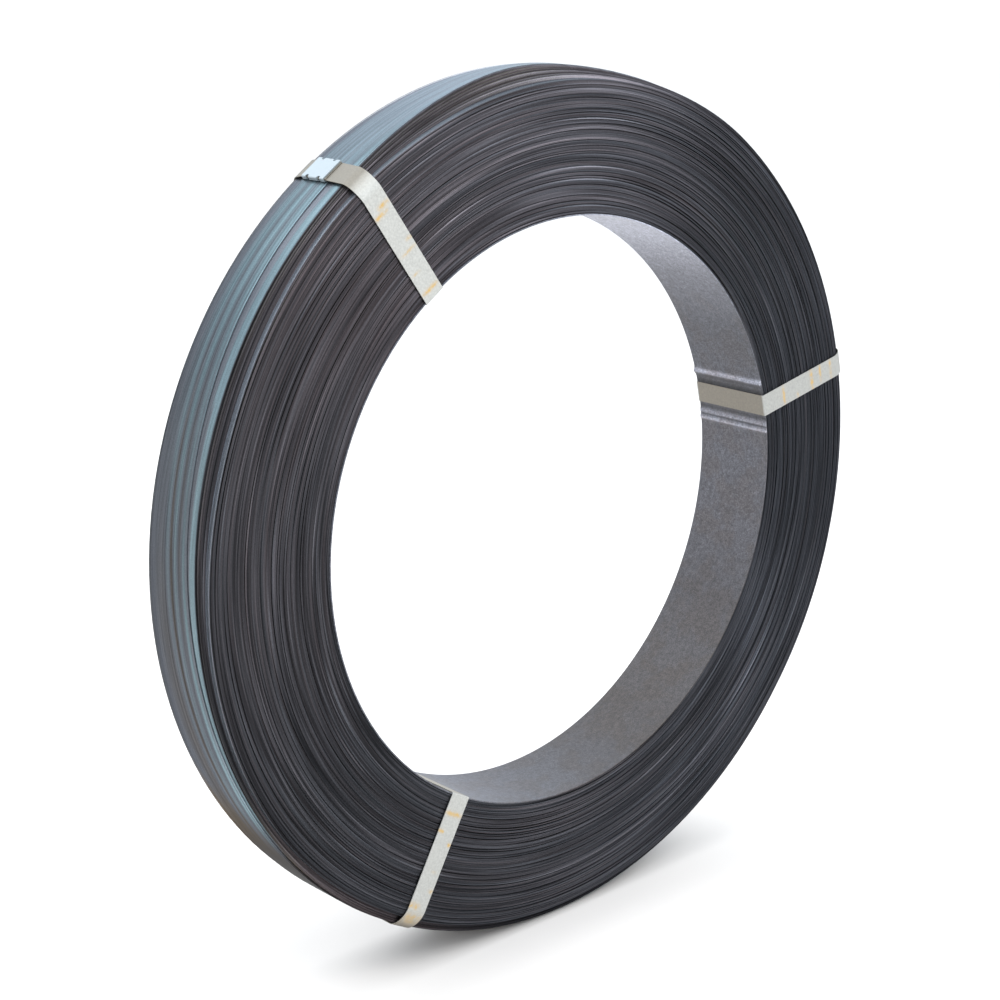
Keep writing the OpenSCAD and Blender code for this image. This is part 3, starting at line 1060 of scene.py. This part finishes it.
class STEELCOIL_OT_tie_bands(Operator):
    """Bends the tie bands round the coil's section, with their rust marks"""

    bl_idname = "steel_coil.tie_bands"
    bl_label = "Tie bands"

    def execute(self, context):
        material = make_zinc_material(context.scene.coil_finishes)
        for name, lap in BANDS.items():
            self.bend(context.scene.coil_sizes, context.scene.tie_sizes, name, lap, material)
        return {"FINISHED"}

    def bend(self, sizes, tie, name, lap, material):
        """Bends one band, with its rust marks, khaki stretches and painted light and shade."""
        outer = tie_side(sizes, tie, lap, tie.gap + tie.thickness)
        inner = tie_side(sizes, tie, lap, tie.gap)
        places = spread(outer, BAND_SPACING)
        across = np.linspace(-1, 1, BAND_ROWS)
        share = np.tile(np.concatenate((across, across[::-1])), (len(places), 1))
        sides = [np.repeat(at_places(side, places)[:, None], len(across), axis=1) for side in (outer, inner)]
        radius, front = np.moveaxis(np.concatenate(sides, axis=1), -1, 0)
        angle = angle_of("tie_band_" + name)
        beside = share * tie.width / 2
        points = np.stack((
            radius * math.cos(angle) - beside * math.sin(angle),
            -front,
            radius * math.sin(angle) + beside * math.cos(angle),
        ), axis=-1)
        rows, ring = share.shape
        faces = [face[::-1] for face in loop_faces(rows, ring, joined=False)]
        faces.append(list(range(ring)))
        faces.append([(rows - 1) * ring + i for i in reversed(range(ring))])
        end_y = HALF_W - sizes.shoulder_setback
        stain = np.zeros(share.shape)
        for distance, place, reach, length, strength in MARKS[name]:
            spread_over = np.clip(MARK_MIDDLE - np.abs(share - place) / reach * MARK_LOSS, 0, 1)
            ends = ((front > end_y, distance * MM), (front < -end_y, COIL_R - BORE_R - distance * MM))
            for on_end, out in ends:
                mark = strength * np.exp(-(((radius - BORE_R - out) / (length * MM)) ** 2)) * spread_over
                stain = np.maximum(stain, np.where(on_end, mark, 0))
        khaki_share = np.clip((HALF_W - np.abs(front)) / np.where(radius < BORE_R, KHAKI_BORE, KHAKI_RIM), 0, 1)
        # Painted light and shade: each band's own brightness on the ends and in the bore, painted shade on
        # the rim.
        shade = FACE_SHADE[name] + (RIM_SHADE - FACE_SHADE[name]) * np.where(radius > BORE_R, khaki_share, 0)
        new_piece(
            "tie_band_" + name + "_strap", points.reshape(-1, 3), faces, material,
            "tie_band_" + name, {"stain": stain, "khaki_share": khaki_share, "shade": shade},
        )


class STEELCOIL_OT_seals(Operator):
    """Gives the crimped seals their zinc finish"""

    bl_idname = "steel_coil.seals"
    bl_label = "Seals"

    def execute(self, context):
        material = make_seal_material(context.scene.coil_finishes)
        for name in BANDS:
            seal = frame["nodes"]["seal_" + name]
            seal.data.materials.clear()
            seal.data.materials.append(material)
        return {"FINISHED"}


class STEELCOIL_OT_stage(Operator):
    """Sets up the pale floor, the soft light and the camera"""

    bl_idname = "steel_coil.stage"
    bl_label = "Stage"

    def execute(self, context):
        studio = context.scene.studio
        self.lay_floor(context, studio)
        self.light(context, studio)
        self.aim_camera(context, studio)
        context.scene.view_settings.view_transform = "Standard"
        return {"FINISHED"}

    def lay_floor(self, context, studio):
        """Lays a plain square floor under the coil."""
        reach, level = studio.floor_reach, CAD_BOX[0].z
        mesh = bpy.data.meshes.new("studio_floor")
        corners = [(x * reach, y * reach, level) for x, y in ((-1, -1), (1, -1), (1, 1), (-1, 1))]
        mesh.from_pydata(corners, [], [(0, 1, 2, 3)])
        floor = bpy.data.objects.new("studio_floor", mesh)
        context.scene.collection.objects.link(floor)
        material, _, shader = new_material("pale_floor")
        shader["Base Color"].default_value = colour(context.scene.coil_finishes.floor)
        shader["Roughness"].default_value = 0.8
        mesh.materials.append(material)

    def light(self, context, studio):
        """Makes a soft sky that is bluer overhead, and hangs two softboxes."""
        world = bpy.data.worlds.new("studio_sky")
        world.use_nodes = True
        nodes = Nodes(world.node_tree)
        direction = nodes.add("ShaderNodeTexCoord").outputs["Generated"]
        height = nodes.add("ShaderNodeSeparateXYZ", {"Vector": direction}).outputs["Z"]
        rise = nodes.band(height, 0.0, studio.sky_rise)
        tint = nodes.mix(rise, colour(studio.sky_low), colour(studio.sky_high))
        nodes.feed(world.node_tree.nodes["Background"].inputs["Color"], tint)
        context.scene.world = world
        self.hang_softbox(context, "softbox_front", studio.key, studio.key_size, studio.key_place)
        self.hang_softbox(context, "softbox_top", studio.top, studio.top_size, studio.top_place)

    def hang_softbox(self, context, name, power, size, place):
        """Hangs a square softbox that faces the coil."""
        data = bpy.data.lights.new(name, "AREA")
        data.energy = power
        data.size = size
        lamp = bpy.data.objects.new(name, data)
        lamp.location = place
        lamp.rotation_euler = (-lamp.location).to_track_quat("-Z", "Y").to_euler()
        context.scene.collection.objects.link(lamp)

    def aim_camera(self, context, studio):
        """Aims the camera at the bore's centre, with the framing of the photo."""
        turn, rise = studio.azimuth, studio.elevation
        back = Vector((math.sin(turn) * math.cos(rise), -math.cos(turn) * math.cos(rise), math.sin(rise)))
        data = bpy.data.cameras.new("photo_camera")
        data.sensor_width = studio.sensor
        data.lens = studio.lens
        data.shift_x = studio.shift_x
        data.shift_y = studio.shift_y
        camera = bpy.data.objects.new("photo_camera", data)
        camera.location = back * studio.distance
        camera.rotation_euler = (-back).to_track_quat("-Z", "Y").to_euler()
        context.scene.collection.objects.link(camera)
        context.scene.camera = camera


OPERATORS = (
    STEELCOIL_OT_wound_turns,
    STEELCOIL_OT_outer_turn,
    STEELCOIL_OT_inner_turn,
    STEELCOIL_OT_tie_bands,
    STEELCOIL_OT_seals,
    STEELCOIL_OT_stage,
)


class STEELCOIL_PT_sidebar(Panel):
    """Lists the steps that dress the coil"""

    bl_idname = "STEELCOIL_PT_sidebar"
    bl_label = "Steel coil"
    bl_space_type = "VIEW_3D"
    bl_region_type = "UI"
    bl_category = "Steel coil"

    def draw(self, context):
        for operator in OPERATORS:
            self.layout.operator(operator.bl_idname)


SETTINGS = {
    "coil_sizes": CoilSizes,
    "tie_sizes": TieSizes,
    "coil_finishes": Finishes,
    "studio": StudioSettings,
}


def register():
    for name, group in SETTINGS.items():
        bpy.utils.register_class(group)
        setattr(bpy.types.Scene, name, PointerProperty(type=group))
    for operator in OPERATORS:
        bpy.utils.register_class(operator)
    bpy.utils.register_class(STEELCOIL_PT_sidebar)


def unregister():
    bpy.utils.unregister_class(STEELCOIL_PT_sidebar)
    for operator in reversed(OPERATORS):
        bpy.utils.unregister_class(operator)
    for name, group in SETTINGS.items():
        delattr(bpy.types.Scene, name)
        bpy.utils.unregister_class(group)


def main():
    register()
    make_streaks_group()
    make_grain_group()
    bpy.ops.steel_coil.wound_turns()
    bpy.ops.steel_coil.outer_turn()
    bpy.ops.steel_coil.inner_turn()
    bpy.ops.steel_coil.tie_bands()
    bpy.ops.steel_coil.seals()
    bpy.ops.steel_coil.stage()


if __name__ == "__main__":
    main()
